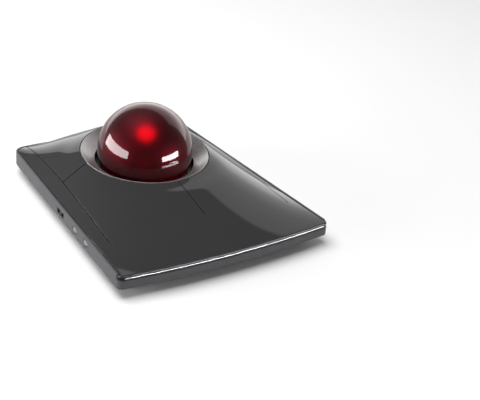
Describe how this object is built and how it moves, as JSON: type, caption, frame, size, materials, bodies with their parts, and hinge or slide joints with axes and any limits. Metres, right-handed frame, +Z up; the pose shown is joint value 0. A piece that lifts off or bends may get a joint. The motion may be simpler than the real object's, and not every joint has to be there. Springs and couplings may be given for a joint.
{
  "type": "desktop trackball pointing device",
  "caption": "Flat wedge-shaped desktop trackball with a large glossy ball in a conical socket ring, rocking top buttons, a front trim strip and side wall controls.",
  "frame": {"origin": "centre of the plan at the surface the feet stand on", "axes": "+X to the user's right, +Y away from the user towards the inlet, +Z up out of the ball"},
  "size_m": [0.1314, 0.1554, 0.0567],
  "materials": {
    "gloss": "polished charcoal",
    "case": "satin charcoal",
    "strip": "bright",
    "ring": "satin grey",
    "cup": "matte black",
    "ceramic": "polished off-white",
    "steel": "plain steel",
    "lens": "clear",
    "switch_plastic": "black moulded",
    "plunger": "off-white moulded",
    "resin": "polished dark red, slightly see-through",
    "board": "green solder mask",
    "battery": "silver pouch",
    "slider": "satin grey",
    "side_button": "satin light grey",
    "rubber": "matte black",
    "label": "blank silver film"
  },
  "bodies": {
    "housing": {"lower_case": "case", "top_cover": "gloss", "front_strip": "strip", "socket_ring": "ring", "socket_cup": "cup", "bearing_rear": "ceramic", "bearing_left": "ceramic", "bearing_right": "ceramic", "cup_screw_right": "steel", "cup_screw_left": "steel", "cup_screw_front": "steel", "sensor_lens_left": "lens", "sensor_lens_right": "lens", "sensor_module_left": "switch_plastic", "sensor_module_right": "switch_plastic", "main_board": "board", "battery": "battery", "switch_board_left": "board", "switch_board_right": "board", "usb_board": "board", "usb_inlet": "steel", "microswitch_lower_left": "switch_plastic", "microswitch_lower_right": "switch_plastic", "microswitch_upper_left": "switch_plastic", "microswitch_upper_right": "switch_plastic", "mode_switch_body": "steel", "pair_tact_switch": "steel", "speed_tact_switch": "steel", "foot_front_left": "rubber", "foot_front_right": "rubber", "foot_rear_left": "rubber", "foot_rear_right": "rubber", "rating_label": "label", "case_screw_front_left": "steel", "case_screw_front_right": "steel", "case_screw_rear_left": "steel", "case_screw_rear_right": "steel"},
    "ball_lift": {"ball_core": "resin"},
    "ball_roll_x": {"ball_inner": "resin"},
    "ball_roll_y": {"ball_middle": "resin"},
    "ball_free": {"ball": "resin"},
    "lower_left": {"button_lower_left": "gloss"},
    "lower_right": {"button_lower_right": "gloss"},
    "upper_left": {"button_upper_left": "gloss"},
    "upper_right": {"button_upper_right": "gloss"},
    "plunger_lower_left": {"switch_plunger_lower_left": "plunger"},
    "plunger_lower_right": {"switch_plunger_lower_right": "plunger"},
    "plunger_upper_left": {"switch_plunger_upper_left": "plunger"},
    "plunger_upper_right": {"switch_plunger_upper_right": "plunger"},
    "mode_slide": {"mode_slider": "slider"},
    "pair_key": {"pair_button": "side_button"},
    "speed_key": {"speed_button": "side_button"}
  },
  "joints": [
    {"name": "ball_lift_out", "type": "slide", "parent": "housing", "child": "ball_lift", "axis": [0, 0, 1], "range_m": [0, 0.06]},
    {"name": "ball_roll_side", "type": "hinge", "parent": "ball_lift", "child": "ball_roll_x", "pos_m": [0, 0.0187, 0.0292], "axis": [1, 0, 0], "continuous": true},
    {"name": "ball_roll_front", "type": "hinge", "parent": "ball_roll_x", "child": "ball_roll_y", "pos_m": [0, 0.0187, 0.0292], "axis": [0, 1, 0], "continuous": true},
    {"name": "ball_twist", "type": "hinge", "parent": "ball_roll_y", "child": "ball_free", "pos_m": [0, 0.0187, 0.0292], "axis": [0, 0, 1], "continuous": true},
    {"name": "press_lower_left", "type": "hinge", "parent": "housing", "child": "lower_left", "pos_m": [0, -0.0478, 0.018], "axis": [-1, 0, 0], "range_deg": [0, 0.9], "stiffness_Nm_per_rad": 3, "springref_deg": -0.57},
    {"name": "press_lower_right", "type": "hinge", "parent": "housing", "child": "lower_right", "pos_m": [0, -0.0478, 0.018], "axis": [-1, 0, 0], "range_deg": [0, 0.9], "stiffness_Nm_per_rad": 3, "springref_deg": -0.57},
    {"name": "press_upper_left", "type": "hinge", "parent": "housing", "child": "upper_left", "pos_m": [0, 0.0747, 0.0165], "axis": [1, 0, 0], "range_deg": [0, 1], "stiffness_Nm_per_rad": 3, "springref_deg": -0.57},
    {"name": "press_upper_right", "type": "hinge", "parent": "housing", "child": "upper_right", "pos_m": [0, 0.0747, 0.0165], "axis": [1, 0, 0], "range_deg": [0, 1], "stiffness_Nm_per_rad": 3, "springref_deg": -0.57},
    {"name": "plunge_lower_left", "type": "slide", "parent": "housing", "child": "plunger_lower_left", "axis": [0, 0, -1], "range_m": [0, 0.0009]},
    {"name": "plunge_lower_right", "type": "slide", "parent": "housing", "child": "plunger_lower_right", "axis": [0, 0, -1], "range_m": [0, 0.0009]},
    {"name": "plunge_upper_left", "type": "slide", "parent": "housing", "child": "plunger_upper_left", "axis": [0, 0, -1], "range_m": [0, 0.0009]},
    {"name": "plunge_upper_right", "type": "slide", "parent": "housing", "child": "plunger_upper_right", "axis": [0, 0, -1], "range_m": [0, 0.0009]},
    {"name": "mode_select", "type": "slide", "parent": "housing", "child": "mode_slide", "axis": [0, 1, 0], "range_m": [-0.0025, 0.0025]},
    {"name": "press_pair", "type": "slide", "parent": "housing", "child": "pair_key", "axis": [1, 0, 0], "range_m": [0, 0.0006], "stiffness_N_per_m": 300, "springref_m": -0.0005},
    {"name": "press_speed", "type": "slide", "parent": "housing", "child": "speed_key", "axis": [1, 0, 0], "range_m": [0, 0.0006], "stiffness_N_per_m": 300, "springref_m": -0.0005}
  ],
  "couplings": [
    {"joint": "plunge_lower_left", "follows": "press_lower_left", "m_per_rad": 0.0545},
    {"joint": "plunge_lower_right", "follows": "press_lower_right", "m_per_rad": 0.0545},
    {"joint": "plunge_upper_left", "follows": "press_upper_left", "m_per_rad": 0.045},
    {"joint": "plunge_upper_right", "follows": "press_upper_right", "m_per_rad": 0.045}
  ]
}
